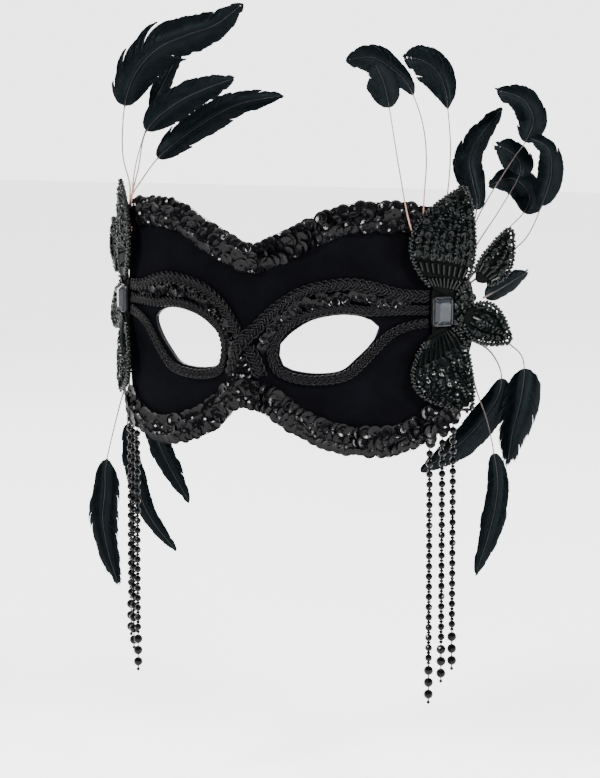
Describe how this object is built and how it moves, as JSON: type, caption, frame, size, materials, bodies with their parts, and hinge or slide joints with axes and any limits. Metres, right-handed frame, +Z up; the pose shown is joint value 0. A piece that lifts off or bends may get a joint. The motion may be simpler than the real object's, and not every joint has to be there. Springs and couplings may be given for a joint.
{
  "type": "venetian masquerade mask",
  "caption": "Velvet half mask with sequin and braid trims, beaded butterfly appliques, feather sprays and hanging bead strands at both sides.",
  "frame": {"origin": "the point of the nose bridge on the back of the lining, at mount face_rest", "axes": "-Y is the front of the mask, +Z is up, +X is the wearer's left"},
  "size_m": [0.2309, 0.095, 0.3126],
  "materials": {
    "shell": "satin moulded half mask",
    "velvet": "short-pile velvet",
    "lining": "flocked felt lining",
    "sequins": "cup sequins on a stretch band",
    "braid": "gimp braid of twisted cord",
    "felt": "applique felt",
    "beadwork": "sequins, bugle and seed beads sewn on",
    "setting": "black metal setting",
    "jewel": "faceted jet stone",
    "eyelet": "pressed eyelet tab",
    "thread": "waxed thread",
    "bead": "faceted jet bead",
    "feather": "dyed coque feather with a blue-green sheen",
    "quill": "stripped quill"
  },
  "bodies": {
    "mask": {"mask_shell": "shell", "velvet_cover": "velvet", "back_lining": "lining", "top_sequin_trim": "sequins", "bottom_sequin_trim": "sequins", "inner_braid_left": "braid", "inner_braid_right": "braid", "outer_braid_left": "braid", "outer_braid_right": "braid", "eye_sequins_left": "sequins", "eye_sequins_right": "sequins", "nose_sequins": "sequins", "strap_eyelet_left": "eyelet", "strap_eyelet_right": "eyelet", "applique_felt_left": "felt", "applique_felt_right": "felt", "petals_left": "beadwork", "petals_right": "beadwork", "bead_edging_left": "beadwork", "bead_edging_right": "beadwork", "jewel_setting_left": "setting", "jewel_setting_right": "setting", "jewel_left": "jewel", "jewel_right": "jewel", "strand_stitches": "thread", "quill_bindings": "thread", "cheek_feather_right": "feather"},
    "strand_left_1": {"thread_left_1": "thread", "beads_left_1": "bead"},
    "strand_left_2": {"thread_left_2": "thread", "beads_left_2": "bead"},
    "strand_left_3": {"thread_left_3": "thread", "beads_left_3": "bead"},
    "strand_right_1": {"thread_right_1": "thread", "beads_right_1": "bead"},
    "strand_right_2": {"thread_right_2": "thread", "beads_right_2": "bead"},
    "strand_right_3": {"thread_right_3": "thread", "beads_right_3": "bead"},
    "crest_spray_left": {"crest_feather_left_1": "feather", "crest_feather_left_2": "feather", "crest_feather_left_3": "feather", "crest_feather_left_4": "feather"},
    "drop_spray_left": {"drop_feather_left_1": "feather", "drop_feather_left_2": "feather", "drop_feather_left_3": "feather"},
    "crest_spray_right": {"crest_feather_right_1": "feather", "crest_feather_right_2": "feather", "crest_feather_right_3": "feather"},
    "rear_spray_right": {"rear_feather_right_1": "feather", "rear_feather_right_2": "feather", "rear_feather_right_3": "feather", "rear_feather_right_4": "feather", "rear_feather_right_5": "feather"},
    "drop_spray_right": {"drop_feather_right_1": "feather", "drop_feather_right_2": "feather", "drop_feather_right_3": "feather"}
  },
  "joints": [
    {"name": "swing_strand_left_1", "type": "hinge", "parent": "mask", "child": "strand_left_1", "pos_m": [-0.07436, 0.03096, -0.05078], "axis": [-0.6157, 0.788, 0], "range_deg": [-10, 75]},
    {"name": "swing_strand_left_2", "type": "hinge", "parent": "mask", "child": "strand_left_2", "pos_m": [-0.07875, 0.03479, -0.04615], "axis": [-0.6157, 0.788, 0], "range_deg": [-10, 75]},
    {"name": "swing_strand_left_3", "type": "hinge", "parent": "mask", "child": "strand_left_3", "pos_m": [-0.08237, 0.03852, -0.04072], "axis": [-0.6157, 0.788, 0], "range_deg": [-10, 75]},
    {"name": "swing_strand_right_1", "type": "hinge", "parent": "mask", "child": "strand_right_1", "pos_m": [0.07436, 0.03096, -0.05078], "axis": [-0.6157, -0.788, 0], "range_deg": [-10, 75]},
    {"name": "swing_strand_right_2", "type": "hinge", "parent": "mask", "child": "strand_right_2", "pos_m": [0.07875, 0.03479, -0.04615], "axis": [-0.6157, -0.788, 0], "range_deg": [-10, 75]},
    {"name": "swing_strand_right_3", "type": "hinge", "parent": "mask", "child": "strand_right_3", "pos_m": [0.08237, 0.03852, -0.04072], "axis": [-0.6157, -0.788, 0], "range_deg": [-10, 75]},
    {"name": "sway_crest_spray_left", "type": "hinge", "parent": "mask", "child": "crest_spray_left", "pos_m": [-0.07708, 0.03015, 0.04], "axis": [0.788, 0.6157, 0], "range_deg": [-8, 8], "stiffness_Nm_per_rad": 0.02},
    {"name": "sway_drop_spray_left", "type": "hinge", "parent": "mask", "child": "drop_spray_left", "pos_m": [-0.08296, 0.03824, -0.015], "axis": [0.788, 0.6157, 0], "range_deg": [-2, 8], "stiffness_Nm_per_rad": 0.02},
    {"name": "sway_crest_spray_right", "type": "hinge", "parent": "mask", "child": "crest_spray_right", "pos_m": [0.07524, 0.02778, 0.031], "axis": [0.788, -0.6157, 0], "range_deg": [-8, 8], "stiffness_Nm_per_rad": 0.02},
    {"name": "sway_rear_spray_right", "type": "hinge", "parent": "mask", "child": "rear_spray_right", "pos_m": [0.08493, 0.04051, 0.019], "axis": [0.788, -0.6157, 0], "range_deg": [-6, 8], "stiffness_Nm_per_rad": 0.02},
    {"name": "sway_drop_spray_right", "type": "hinge", "parent": "mask", "child": "drop_spray_right", "pos_m": [0.0865, 0.04309, -0.003], "axis": [0.788, -0.6157, 0], "range_deg": [-2, 8], "stiffness_Nm_per_rad": 0.02}
  ]
}
